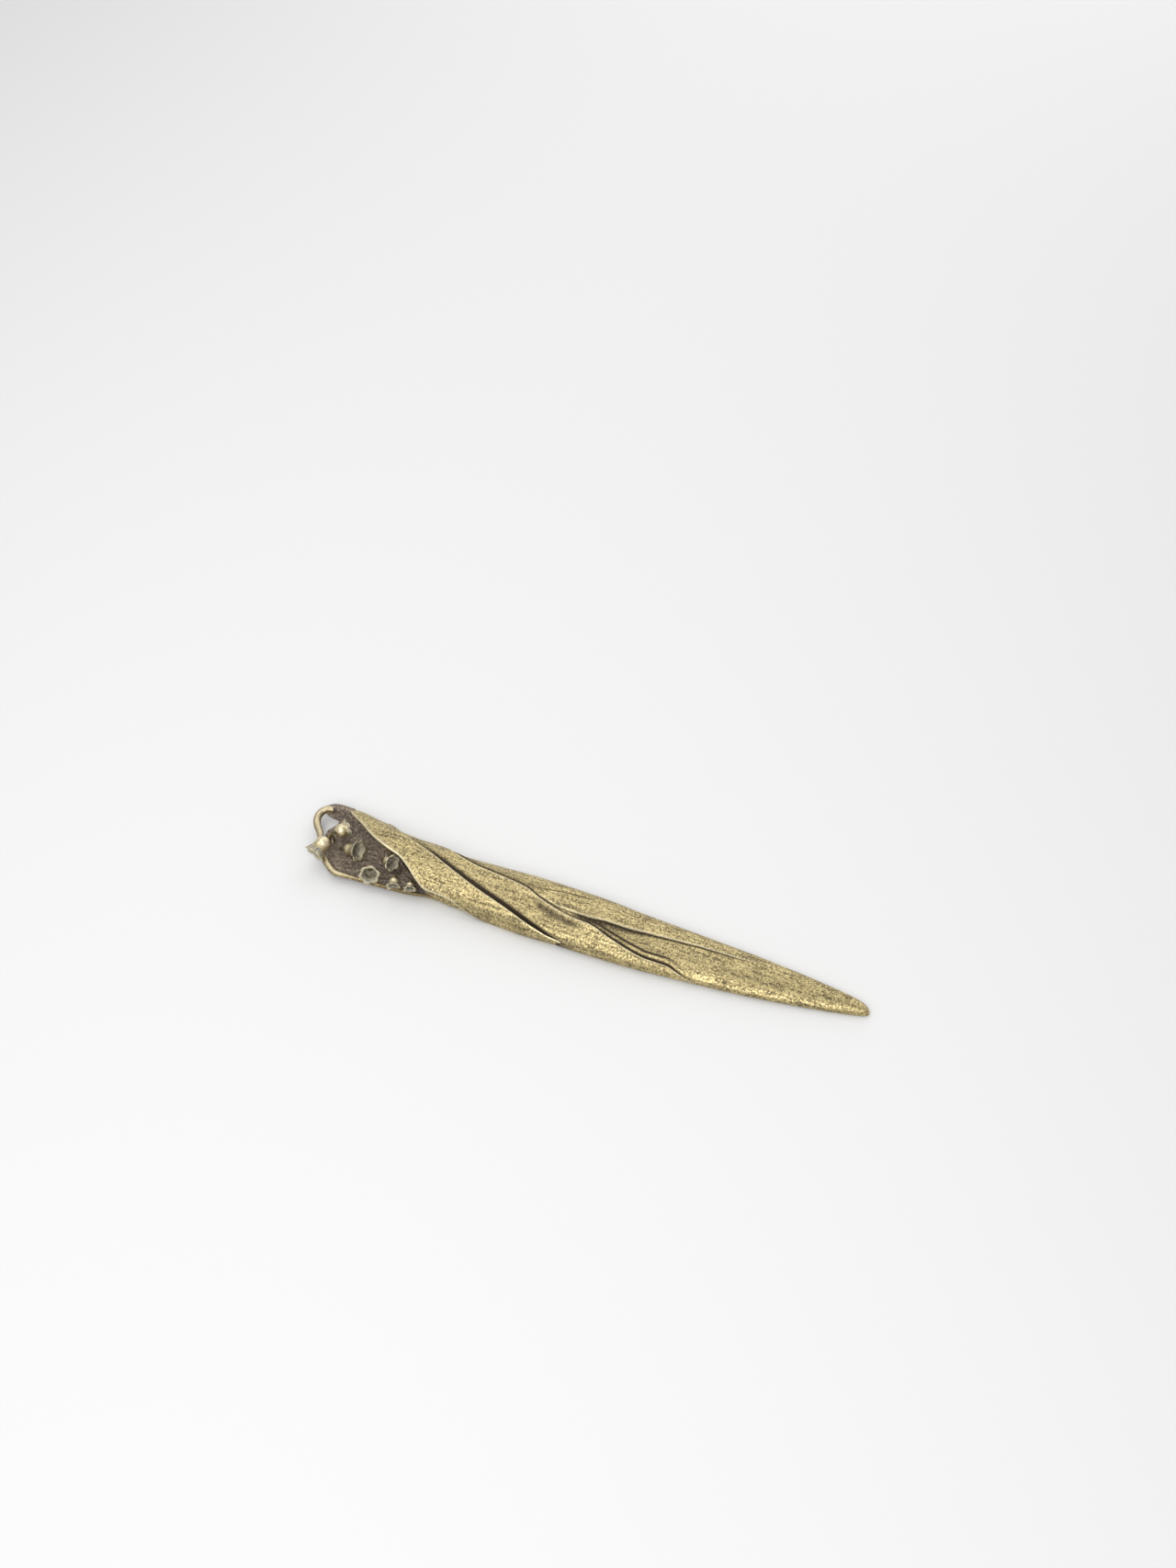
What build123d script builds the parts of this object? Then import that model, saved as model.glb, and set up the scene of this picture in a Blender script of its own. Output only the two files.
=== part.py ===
from build123d import *
import os
from functools import lru_cache
from math import cos, hypot, pi, sin

os.makedirs("parts", exist_ok=True)

# Letter opener in cast brass, wrapped like a rolled leaf and trimmed with a
# spray of bell flowers. X runs from the flowers to the blade's tip, Z is up,
# and the origin lies on the flat back under the waist, where handle meets blade.

# Driving sizes in millimetres
butt_reach = 64.0      # origin back to the flower end
tip_reach = 168.0      # origin forward to the blade's tip
half_width = 15.0      # half of the widest handle section
core_height = 10.6     # flat back to the ridge of the core
leaf_thick = 0.85      # sheet of each wrapped leaf
braze_gap = 0.18       # running gap of every brazed seam
lip_rise = 0.35        # rolled lip on the free edge of the middle leaf
hollow_depth = 0.70    # concave furrow along the blade
station_pitch = 4.0    # spacing of the lofted sections
station_spare = 1.3    # least room between an end section and its neighbour
overrun = 4.0          # how far a cutting solid runs past its work
tenon_length = 12.0
tenon_width = 9.0
tenon_height = 2.0
tenon_rise = 0.8       # flat back to the underside of the tenon
seat_x = -22.0         # joint face between flower bed and blade
ground_level = 3.6     # flat back to the sunken ground of the flower bed
under_cut = 2.2        # how far the ground runs in below the leaf's mouth
stem_radius = 1.05
bell_radius = 2.7      # dome of a full bell
bell_wall = 0.45
crown_radius = 0.6     # bore in a bell's crown
pedicel_radius = 0.45
pin_head_radius = 0.8
pin_head_height = 0.5

# Shares of the core: place along the opener, near edge and far edge of
# half_width, ridge of core_height. Places run from -1 at the butt to 1 at the tip.
core_shares = [
    (-1.00, -0.80, 0.99, 0.51),
    (-0.88, -0.81, 1.05, 0.62),
    (-0.78, -0.83, 1.09, 0.74),
    (-0.59, -0.83, 0.94, 0.91),
    (-0.39, -0.81, 0.81, 1.00),
    (-0.19, -0.75, 0.77, 1.00),
    (0.00, -0.70, 0.75, 0.96),
    (0.09, -0.73, 0.79, 0.93),
    (0.20, -0.79, 0.84, 0.90),
    (0.33, -0.84, 0.82, 0.85),
    (0.46, -0.81, 0.73, 0.74),
    (0.60, -0.75, 0.65, 0.64),
    (0.73, -0.62, 0.57, 0.55),
    (0.85, -0.43, 0.45, 0.45),
    (0.935, -0.26, 0.33, 0.38),
    (0.975, -0.16, 0.24, 0.33),
    (1.00, -0.08, 0.09, 0.28),
]
widest_share = 0.36    # height of the widest line in a section
land_share = 0.62      # width of the flat back in a section
turn_share = 0.14      # part of the way round taken by each lower corner

# Seams: place along the opener and way round the section, where 0 is the near
# border of the flat back and 1 the far border.
mouth_shares = [
    (-0.86, 0.82), (-0.82, 0.745), (-0.78, 0.68), (-0.68, 0.61), (-0.56, 0.54),
    (-0.45, 0.495), (-0.36, 0.465), (-0.275, 0.40), (-0.20, 0.32), (-0.12, 0.25),
    (0.01, 0.23), (0.05, 0.17), (0.10, 0.10), (0.15, 0.04), (0.19, 0.0),
]
outer_edge_shares = [
    (-0.75, 1.0), (-0.66, 0.94), (-0.56, 0.83), (-0.47, 0.73), (-0.38, 0.67),
    (-0.20, 0.58), (-0.01, 0.48), (0.07, 0.395), (0.15, 0.32), (0.23, 0.235),
    (0.27, 0.195), (0.315, 0.175), (0.345, 0.15), (0.37, 0.11),
]
middle_edge_shares = [
    (-0.34, 0.86), (-0.28, 0.84), (-0.19, 0.79), (-0.09, 0.72), (0.00, 0.65),
    (0.05, 0.595), (0.11, 0.57), (0.17, 0.54), (0.225, 0.477), (0.30, 0.431),
    (0.34, 0.425), (0.40, 0.37), (0.46, 0.315), (0.49, 0.295), (0.54, 0.29),
    (0.565, 0.25), (0.595, 0.18), (0.62, 0.12),
]
furrow_shares = [
    (0.19, 0.53), (0.22, 0.505), (0.27, 0.473), (0.34, 0.48), (0.38, 0.503),
    (0.43, 0.51), (0.47, 0.527), (0.56, 0.56), (0.60, 0.577), (0.675, 0.59), (0.73, 0.61),
]
hidden_lap_share = 0.05   # how far the middle leaf starts behind the mouth's edge
furrow_width_share = 0.17
furrow_end_power = 0.5   # how bluntly the furrow runs out at its ends
furrow_side_power = 1.5  # how late the furrow drops toward the raised leaf
lip_power = 8            # how closely the lip's rise keeps to its edge

# Far wall of the sunken ground: place along the opener, share of half_width
wall_shares = [
    (-1.04, 0.95), (-0.90, 0.97), (-0.84, 0.96), (-0.78, 0.90), (-0.68, 0.73),
    (-0.56, 0.37), (-0.45, 0.11), (-0.36, 0.0), (-0.275, -0.23), (-0.20, -0.48),
    (-0.12, -0.70), (-0.06, -0.92),
]

# Cove of the flower bed in plan, round the opening inside the stem's loop:
# share of butt_reach, share of half_width
cove_shares = [
    (-1.00, 1.14), (-0.985, 0.95), (-0.93, 0.87), (-0.875, 0.80), (-0.862, 0.64),
    (-0.88, 0.46), (-0.90, 0.30),
]
first_beside = 5   # row of the loop from which the bed lies beside the stem

# Loop of the flower stem: shares of butt_reach, half_width and core_height
loop_shares = [
    (-0.985, 0.87, 0.50), (-1.01, 0.72, 0.48), (-1.008, 0.54, 0.46), (-0.985, 0.36, 0.43),
    (-0.945, 0.17, 0.40), (-0.90, -0.05, 0.38), (-0.86, -0.30, 0.36), (-0.825, -0.54, 0.34),
    (-0.78, -0.74, 0.33),
]
# Run of the stem beside the near edge of the core: places along the opener
run_shares = [-0.72, -0.64, -0.54, -0.40, -0.30, -0.20, -0.12, -0.05]
run_level_share = 0.32
stem_rings = 28

# Bells: dome centre as shares of butt_reach, half_width and core_height, aim of
# the mouth, size as a share of a full bell, then spread of the rim and length as
# shares of the dome
bell_shares = [
    ((-0.808, 0.34, 0.68), (0.68, 0.70, 0.10), 1.00, 1.22, 2.0),
    ((-0.875, -0.36, 0.90), (-0.62, -0.60, -0.45), 1.05, 1.40, 2.2),
    ((-0.70, -0.21, 0.64), (0.95, 0.11, 0.29), 1.00, 1.38, 2.2),
    ((-0.498, -0.67, 0.66), (0.30, -0.85, 0.42), 0.96, 1.34, 2.1),
    ((-0.412, -0.17, 0.72), (0.90, -0.35, 0.25), 0.85, 1.22, 2.0),
    ((-0.34, -0.745, 0.70), (0.30, -0.90, 0.10), 0.75, 1.24, 2.0),
    ((-0.236, -0.69, 0.67), (0.30, -0.90, 0.10), 0.67, 1.22, 2.0),
]
rim_lobes = 6
notch_depth_share = 0.44   # depth of a notch between two lobes, of the flare's length
notch_width_share = 0.70   # width of a notch at the rim, of one lobe's pitch
dome_angles = [30, 60, 90]     # degrees from the crown
cavity_angles = [50, 90]
flare_shares = [0.55, 1.0]
flare_power = 2.6      # higher keeps the bell's waist narrow for longer

# Counts of flat facets and of steps
border_steps = 40      # halvings that find where the skin meets the flat back
core_facets = 18
leaf_facets = 8
furrow_facets = 6
head_sides = 12
stem_sides = 10
pedicel_sides = 6
pedicel_rings = 6
first_side = (1, 1, 1)   # rough direction of the first flat of a bar


def along(share):
    """Place along the opener, from a share of the reach on its own side."""
    return share * butt_reach if share < 0 else share * tip_reach


def slopes(xs, ys):
    """Slopes of a smooth curve through a table that never overshoots it."""
    steps = [(ys[i + 1] - ys[i]) / (xs[i + 1] - xs[i]) for i in range(len(xs) - 1)]
    inner = [2 * a * b / (a + b) if a * b > 0 else 0.0 for a, b in zip(steps, steps[1:])]
    return [steps[0]] + inner + [steps[-1]]


def curve_value(table, column, x):
    """Value of one column of a share table at a place along the opener."""
    xs = [along(row[0]) for row in table]
    ys = [row[column] for row in table]
    x = min(max(x, xs[0]), xs[-1])
    i = max(k for k in range(len(xs) - 1) if xs[k] <= x)
    grade = slopes(xs, ys)
    span = xs[i + 1] - xs[i]
    s = (x - xs[i]) / span
    rise = (3 - 2 * s) * s * s
    start = s * (1 - s) ** 2 * span * grade[i]
    finish = s * s * (s - 1) * span * grade[i + 1]
    return ys[i] * (1 - rise) + ys[i + 1] * rise + start + finish


@lru_cache(maxsize=None)
def section_sizes(x):
    """Middle, half width and height of the core's section at x."""
    near = half_width * curve_value(core_shares, 1, x)
    far = half_width * curve_value(core_shares, 2, x)
    ridge = core_height * curve_value(core_shares, 3, x)
    return (near + far) / 2, (far - near) / 2, ridge


def skin(x, turn, lift):
    """Point on the core's skin at x, raised square to the section by lift."""
    middle, half, ridge = section_sizes(x)
    widest = widest_share * ridge
    land = land_share * half
    if turn < turn_share:
        angle = pi / 2 * (turn_share - turn) / turn_share
        y = middle - land - (half - land) * cos(angle)
        z = widest - widest * sin(angle)
        out = (-widest * cos(angle), -(half - land) * sin(angle))
    elif turn > 1 - turn_share:
        angle = pi / 2 * (turn - 1 + turn_share) / turn_share
        y = middle + land + (half - land) * cos(angle)
        z = widest - widest * sin(angle)
        out = (widest * cos(angle), -(half - land) * sin(angle))
    else:
        angle = pi * (turn - turn_share) / (1 - 2 * turn_share)
        y = middle - half * cos(angle)
        z = widest + (ridge - widest) * sin(angle)
        out = (-(ridge - widest) * cos(angle), half * sin(angle))
    size = hypot(*out)
    return Vector(x, y + lift * out[0] / size, z + lift * out[1] / size)


def stations(first, last):
    """Places of the sections between two ends, shared by every lofted piece."""
    start = round(-butt_reach / station_pitch) * station_pitch
    count = round((butt_reach + tip_reach) / station_pitch)
    grid = [start + i * station_pitch for i in range(count + 1)]
    inside = [x for x in grid if first + station_spare < x < last - station_spare]
    return [first] + inside + [last]


def border(x, lift, far):
    """Turn at which the skin, raised by lift, meets the plane of the flat back."""
    low, high = (1.0, 1 - turn_share) if far else (0.0, turn_share)
    for _ in range(border_steps):
        turn = (low + high) / 2
        low, high = (turn, high) if skin(x, turn, lift).Z < 0 else (low, turn)
    return high


def skin_points(x, low, high, lifts):
    """Points round the section between two turns; lifts has a value per point."""
    low = max(low, border(x, lifts[0], False))
    high = min(high, border(x, lifts[-1], True))
    last = len(lifts) - 1
    return [skin(x, low + (high - low) * i / last, lifts[i]) for i in range(len(lifts))]


def polygon(points):
    """Flat face inside a closed outline of straight facets."""
    return make_face(Polyline(*points, close=True))


def full_section(x, lift):
    """Closed section of the core, grown by lift above the flat back."""
    return polygon(skin_points(x, 0, 1, [lift] * (core_facets + 1)))


def ring_section(x, low, high, floor, roof):
    """Section of a shell between two rows of lifts."""
    return polygon(skin_points(x, low, high, floor) + skin_points(x, low, high, roof)[::-1])


def wrapped_leaf(first, last, low, high, bottom, rise):
    """Leaf lofted round the core between two seams, flush with the flat back."""
    inner = [bottom] * (leaf_facets + 1)
    lips = [(i / leaf_facets) ** lip_power for i in range(leaf_facets + 1)]
    outer = [bottom + leaf_thick + rise * lip for lip in lips]
    sections = []
    for x in stations(first, last):
        sections.append(ring_section(x, low(x), high(x), inner, outer))
    return loft(sections, ruled=True)


def stem_points():
    """Centre line of the stem: its open loop, then its run beside the core."""
    loop = [
        Vector(a * butt_reach, b * half_width, c * core_height) for a, b, c in loop_shares
    ]
    run = []
    for place in run_shares:
        x = along(place)
        near = half_width * curve_value(core_shares, 1, x)
        run.append(Vector(x, near - stem_radius - braze_gap, run_level_share * core_height))
    return loop + run


def faceted_bar(path, radius, rings, sides):
    """Bar of many flat sides, lofted through rings that stand square to a smooth path."""
    sections = []
    side = (path % 0).cross(Vector(*first_side))
    for i in range(rings + 1):
        way = path % (i / rings)
        side = side - way * side.dot(way)
        plane = Plane(path @ (i / rings), x_dir=side, z_dir=way)
        sections.append(plane * RegularPolygon(radius, sides))
    return loft(sections, ruled=True)


def make_flower_stem():
    """Stem, looped round the open end and laid along the near edge."""
    return faceted_bar(Spline(*stem_points()), stem_radius, stem_rings, stem_sides)


def ground_cutter():
    """Everything above the sunken ground, back to its wall below the leaf's lip."""
    near = -half_width - overrun
    top = core_height + 2 * overrun
    sections = []
    for place, wall_share in wall_shares:
        x = along(place)
        wall = wall_share * half_width
        outline = Polyline(
            (x, near, ground_level),
            (x, wall - under_cut, ground_level),
            (x, wall, ground_level + under_cut),
            (x, wall, top),
            (x, near, top),
            close=True,
        )
        sections.append(make_face(outline))
    return loft(sections, ruled=True)


def bed_plan():
    """Plan of the flower bed: cove round the loop's opening, then beside the stem."""
    cove = [Vector(a * butt_reach, b * half_width) for a, b in cove_shares]
    stem = stem_points()
    beside = []
    for i in range(first_beside, len(stem) - 1):
        way = stem[i + 1] - stem[i - 1]
        inward = Vector(-way.Y, way.X).normalized()
        beside.append(Vector(stem[i].X, stem[i].Y) + inward * (stem_radius + braze_gap))
    edge = Spline(*(cove + beside))
    far = half_width + 2 * overrun
    rest = Polyline(edge @ 1, ((edge @ 1).X, far), ((edge @ 0).X, far), edge @ 0)
    return make_face([edge] + rest.edges())


def tenon(gap):
    """Tenon on the blade's end; the gap makes the mortise that takes it."""
    size = (tenon_length + overrun, tenon_width + 2 * gap, tenon_height + 2 * gap)
    sides = (Align.MIN, Align.CENTER, Align.MIN)
    place = (seat_x - tenon_length - gap, 0, tenon_rise - gap)
    return Pos(*place) * Box(*size, align=sides)


def make_flower_bed():
    """Dark ground of the leaf's mouth, a plug on the blade's tenon."""
    xs = stations(-butt_reach - overrun / 2, seat_x - braze_gap)
    solid = loft([full_section(x, leaf_thick) for x in xs], ruled=True)
    solid = solid & extrude(bed_plan(), 2 * core_height)
    return solid - ground_cutter() - tenon(braze_gap)


def furrow_cutter():
    """Lens that hollows the near leaf of the blade beside its raised neighbour."""
    first = along(furrow_shares[0][0])
    last = along(furrow_shares[-1][0])
    sections = []
    for x in stations(first, last):
        reach = max(0.0, sin(pi * (x - first) / (last - first))) ** furrow_end_power
        depth = braze_gap + (hollow_depth - braze_gap) * reach
        high = curve_value(furrow_shares, 1, x)
        low = high - furrow_width_share
        dips = [(i / furrow_facets) ** furrow_side_power for i in range(furrow_facets + 1)]
        floor = [braze_gap - (depth + braze_gap) * dip for dip in dips]
        roof = [leaf_thick] * (furrow_facets + 1)
        sections.append(ring_section(x, low, high, floor, roof))
    return loft(sections, ruled=True)


def make_blade():
    """Blade with its tang: raised far leaf, hollowed near leaf, tenon at the seat."""
    solid = loft([full_section(x, 0) for x in stations(seat_x, tip_reach)], ruled=True)
    return solid - furrow_cutter() - ground_cutter() + tenon(0)


def make_outer_leaf():
    """Leaf whose edge opens as the mouth over the flowers."""
    return wrapped_leaf(
        along(mouth_shares[0][0]),
        along(outer_edge_shares[-1][0]),
        lambda x: curve_value(mouth_shares, 1, x),
        lambda x: curve_value(outer_edge_shares, 1, x),
        2 * braze_gap + leaf_thick,
        0,
    )


def middle_low(x):
    """Hidden edge of the middle leaf, a lap behind the edge of the mouth."""
    mouth = curve_value(mouth_shares, 1, x)
    return mouth + min(hidden_lap_share, mouth)


def make_middle_leaf():
    """Leaf between the outer leaf and the blade, with a rolled lip."""
    return wrapped_leaf(
        seat_x,
        along(middle_edge_shares[-1][0]),
        middle_low,
        lambda x: curve_value(middle_edge_shares, 1, x),
        braze_gap,
        lip_rise,
    )


def bell_plane(row):
    """Local frame of a bell: origin at its crown, Z toward its mouth."""
    (a, b, c), aim, size = row[:3]
    dome = Vector(a * butt_reach, b * half_width, c * core_height)
    axis = Vector(*aim).normalized()
    return Plane(dome - axis * (size * bell_radius), z_dir=axis)


def dome_points(radius, center, angles):
    """Points on a round dome, from near its crown to its widest place at center."""
    leans = [pi * angle / 180 for angle in angles]
    return [Vector(radius * sin(lean), 0, center - radius * cos(lean)) for lean in leans]


def rim_notches(rim, mouth, flare):
    """Wedges across the mouth that leave pointed lobes between them."""
    root = mouth - notch_depth_share * flare
    half = notch_width_share * pi * rim / rim_lobes
    spread = half * (mouth + overrun - root) / (mouth - root)
    top = mouth + overrun
    outline = polygon([(0, 0, root), (spread, 0, top), (-spread, 0, top)])
    wedge = extrude(outline, rim + overrun, both=True)
    pitch = 360 / rim_lobes
    return [Rot(0, 0, pitch * (i + 0.5)) * wedge for i in range(rim_lobes // 2)]


def make_bell(row):
    """Hollow bell, turned from one profile: bored crown, dome, waist and lobed flare."""
    size, spread, length = row[2:]
    dome = size * bell_radius
    rim = spread * dome
    mouth = length * dome
    bore = crown_radius + braze_gap
    outside = [Vector(bore, 0, 0)] + dome_points(dome, dome, dome_angles)
    for share in flare_shares:
        radius = dome + (rim - dome) * share ** flare_power
        outside.append(Vector(radius, 0, dome + (mouth - dome) * share))
    inside = [Vector(bore, 0, bell_wall)] + dome_points(dome - bell_wall, dome, cavity_angles)
    inside.append(Vector(rim - bell_wall, 0, mouth))
    solid = revolve(polygon(outside + inside[::-1]), Axis.Z)
    for notch in rim_notches(rim, mouth, mouth - dome):
        solid = solid - notch
    return bell_plane(row) * solid


def make_pedicel(row):
    """Bent wire from the ground into the crown of a bell, with a head inside it."""
    dome = row[2] * bell_radius
    crown = bell_plane(row)
    seat = crown.origin + crown.z_dir * (bell_wall + 2 * braze_gap)
    finish = seat + crown.z_dir * (pin_head_height / 2)
    behind = crown.origin - crown.z_dir * dome
    root = Vector(behind.X, behind.Y, ground_level + braze_gap)
    path = Bezier(root, (root + behind) / 2, behind, finish)
    wire = faceted_bar(path, pedicel_radius, pedicel_rings, pedicel_sides)
    head = extrude(RegularPolygon(pin_head_radius, head_sides), pin_head_height)
    return wire + Plane(seat, z_dir=crown.z_dir) * head


def save(node, solid):
    """Write one named piece."""
    export_step(solid, "parts/" + node + ".step")
    print(node, "solids", len(solid.solids()), "volume", round(solid.volume, 1), solid.is_valid)


save("flower_bed", make_flower_bed())
save("blade", make_blade())
save("outer_leaf", make_outer_leaf())
save("middle_leaf", make_middle_leaf())
save("flower_stem", make_flower_stem())
for number, row in enumerate(bell_shares, start=1):
    save("bell_" + str(number), make_bell(row))
    save("pedicel_" + str(number), make_pedicel(row))
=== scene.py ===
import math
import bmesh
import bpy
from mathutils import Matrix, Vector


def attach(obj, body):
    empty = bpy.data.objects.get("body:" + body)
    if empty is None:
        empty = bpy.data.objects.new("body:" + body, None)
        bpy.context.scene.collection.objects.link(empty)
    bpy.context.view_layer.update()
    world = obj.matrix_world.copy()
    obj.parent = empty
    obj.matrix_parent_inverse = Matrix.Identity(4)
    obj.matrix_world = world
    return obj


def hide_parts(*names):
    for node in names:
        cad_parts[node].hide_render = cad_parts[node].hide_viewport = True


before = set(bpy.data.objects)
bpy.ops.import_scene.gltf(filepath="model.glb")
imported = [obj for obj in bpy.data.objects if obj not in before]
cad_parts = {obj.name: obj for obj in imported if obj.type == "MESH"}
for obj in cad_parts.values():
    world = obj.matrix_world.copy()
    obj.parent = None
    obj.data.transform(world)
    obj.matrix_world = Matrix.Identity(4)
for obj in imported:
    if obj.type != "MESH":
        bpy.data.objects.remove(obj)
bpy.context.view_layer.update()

# %% [markdown]
# # A brass letter opener wrapped in leaves
#
# The opener is one long blade with two leaves rolled round it. The outer leaf opens as a
# slanting mouth on the handle, and a spray of bell flowers lies in that mouth on a dark ground.
# The metal is cast brass that was patinated brown and then rubbed, so the high places shine
# like pale gold and the seams stay nearly black. In the scene part of that shine is a painted
# highlight, and part of that black is painted shade.
#
# The lesson rebuilds the pieces whose surface matters from one formula: a flat-backed section
# that changes along the opener. A point on it is named by its place along the opener and by
# its turn round the section, so every seam is a curve of turns.

MM = 0.001
print("nodes", len(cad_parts))

# %% [markdown]
# ## Sizes of the real thing
#
# A few driving sizes in millimetres and tables of shares describe the opener. The shape could
# be typed in as coordinates, but shares keep their meaning when a size changes. This table, the
# seams of the leaves and the furrow are the ones that made the solids, so the leaves and the
# blade lie on them. The wall of the ground has one more row here. The stem's loop and the bells
# were set again, so they are not where the solids have them.

# %% driving sizes
BUTT_REACH = 64.0
TIP_REACH = 168.0
HALF_WIDTH = 15.0
CORE_HEIGHT = 10.6

# Place along, then near edge, far edge and ridge
CORE_SHARES = [
    (-1.00, -0.80, 0.99, 0.51),
    (-0.88, -0.81, 1.05, 0.62),
    (-0.78, -0.83, 1.09, 0.74),
    (-0.59, -0.83, 0.94, 0.91),
    (-0.39, -0.81, 0.81, 1.00),
    (-0.19, -0.75, 0.77, 1.00),
    (0.00, -0.70, 0.75, 0.96),
    (0.09, -0.73, 0.79, 0.93),
    (0.20, -0.79, 0.84, 0.90),
    (0.33, -0.84, 0.82, 0.85),
    (0.46, -0.81, 0.73, 0.74),
    (0.60, -0.75, 0.65, 0.64),
    (0.73, -0.62, 0.57, 0.55),
    (0.85, -0.43, 0.45, 0.45),
    (0.935, -0.26, 0.33, 0.38),
    (0.975, -0.16, 0.24, 0.33),
    (1.00, -0.08, 0.09, 0.28),
]
print("length", BUTT_REACH + TIP_REACH, "mm")

# %% [markdown]
# ## The form
#
# The body under the leaves is one soft bar whose section changes all the way. It could be
# sculpted, but a formula lets every other piece follow it exactly. A smooth curve through each
# column of the table gives the section at any place.

# %% curves through the tables
def along(share):
    """Place along the opener in millimetres."""
    return share * BUTT_REACH if share < 0 else share * TIP_REACH


def make_curve(table, column):
    """Function of x through one column of a share table, without overshoot."""
    xs = [along(row[0]) for row in table]
    ys = [row[column] for row in table]
    steps = [(ys[i + 1] - ys[i]) / (xs[i + 1] - xs[i]) for i in range(len(xs) - 1)]
    inner = [2 * a * b / (a + b) if a * b > 0 else 0.0 for a, b in zip(steps, steps[1:])]
    grade = [steps[0]] + inner + [steps[-1]]

    def value(x):
        x = min(max(x, xs[0]), xs[-1])
        i = max(k for k in range(len(xs) - 1) if xs[k] <= x)
        span = xs[i + 1] - xs[i]
        s = (x - xs[i]) / span
        rise = (3 - 2 * s) * s * s
        first = s * (1 - s) ** 2 * span * grade[i]
        last = s * s * (s - 1) * span * grade[i + 1]
        return ys[i] * (1 - rise) + ys[i + 1] * rise + first + last

    return value


near_edge = make_curve(CORE_SHARES, 1)
far_edge = make_curve(CORE_SHARES, 2)
ridge_height = make_curve(CORE_SHARES, 3)


def section(x, shrink=1.0):
    """Middle, half width and ridge of the section at x."""
    near = HALF_WIDTH * near_edge(x)
    far = HALF_WIDTH * far_edge(x)
    return (near + far) / 2, shrink * (far - near) / 2, CORE_HEIGHT * ridge_height(x)


print("waist section", [round(v, 2) for v in section(0.0)])

# %% [markdown]
# ## A point on the skin
#
# The section is an ellipse over the top, two tight quarter ellipses below it, and the flat back
# on which the opener rests. A turn goes from 0 at the near side to 1 at the far side. Lifting a
# point square to the section lays one leaf over another without cutting in.

# %% skin of the section
WIDEST_SHARE = 0.36
LAND_SHARE = 0.62
TURN_SHARE = 0.14
BORDER_STEPS = 24


def skin(size, x, turn, lift):
    """Point of the skin at a turn, raised square to the section by lift."""
    middle, half, ridge = size
    widest = WIDEST_SHARE * ridge
    if TURN_SHARE <= turn <= 1 - TURN_SHARE:
        angle = math.pi * (turn - TURN_SHARE) / (1 - 2 * TURN_SHARE)
        y = middle - half * math.cos(angle)
        z = widest + (ridge - widest) * math.sin(angle)
        out = Vector((0, -(ridge - widest) * math.cos(angle), half * math.sin(angle)))
    else:
        side = -1 if turn < TURN_SHARE else 1
        past = TURN_SHARE - turn if turn < TURN_SHARE else turn - 1 + TURN_SHARE
        angle = math.pi / 2 * past / TURN_SHARE
        land = LAND_SHARE * half
        y = middle + side * (land + (half - land) * math.cos(angle))
        z = widest - widest * math.sin(angle)
        out = Vector((0, side * widest * math.cos(angle), -(half - land) * math.sin(angle)))
    return Vector((x, y, z)) + out.normalized() * lift


def border(size, x, lift, far):
    """Turn at which the raised skin meets the plane of the flat back."""
    low, high = (1.0, 1 - TURN_SHARE) if far else (0.0, TURN_SHARE)
    for _ in range(BORDER_STEPS):
        turn = (low + high) / 2
        low, high = (turn, high) if skin(size, x, turn, lift).z < 0 else (low, turn)
    return high


def smooth(low, high, value):
    """Share from 0 to 1 that rises smoothly between two values."""
    s = min(max((value - low) / (high - low), 0.0), 1.0)
    return s * s * (3 - 2 * s)


def window(rise_from, rise_to, fall_from, fall_to, value):
    """Share that rises to 1 between two values and falls to 0 between two more."""
    return smooth(rise_from, rise_to, value) * (1 - smooth(fall_from, fall_to, value))


print("top of the waist", [round(v, 2) for v in skin(section(0.0), 0.0, 0.5, 0.0)])

# %% [markdown]
# ## A skin of quads
#
# Each long piece starts as a flat grid. Its columns run along the opener and its rows run once
# round the closed section. The code moves every vertex to its place, welds the first row to
# the last, and fills the ends. A point attribute called recess stores how dark each vertex is
# painted: patina deep in a seam, and painted shade in hollows, below steps and on the low
# flanks. One called polish marks where hands and cloth have rubbed the metal bright, and where
# a highlight is painted. Masks could be painted instead, but the formula already knows where
# the seams are.

# %% grid wrapped into a closed piece
GRID_STEP = 0.8
WELD = 0.0005 * MM
SLIVER = 0.0001 * MM


def spread(first, last, step):
    """Evenly spaced values from first to last."""
    count = max(1, round((last - first) / step))
    return [first + (last - first) * i / count for i in range(count + 1)]


def new_marked_mesh():
    """Empty bmesh with the two marks that the metal reads, recess and polish."""
    bm = bmesh.new()
    recess = bm.verts.layers.float.new("recess")
    polish_and_highlight = bm.verts.layers.float.new("polish_and_highlight")
    return bm, recess, polish_and_highlight


def fill_ends(bm):
    """Closes the open ends of a wrapped grid."""
    open_edges = [edge for edge in bm.edges if edge.is_boundary]
    bmesh.ops.holes_fill(bm, edges=open_edges, sides=0)


def finish_mesh(name, bm, body="root"):
    """Mesh object from a bmesh, smooth shaded, riding with the opener."""
    bmesh.ops.recalc_face_normals(bm, faces=bm.faces)
    for face in bm.faces:
        face.smooth = True
    mesh = bpy.data.meshes.new(name)
    bm.to_mesh(mesh)
    bm.free()
    piece = bpy.data.objects.new(name, mesh)
    bpy.context.scene.collection.objects.link(piece)
    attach(piece, body)
    print(name, "vertices", len(mesh.vertices), "faces", len(mesh.polygons))
    return piece


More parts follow.
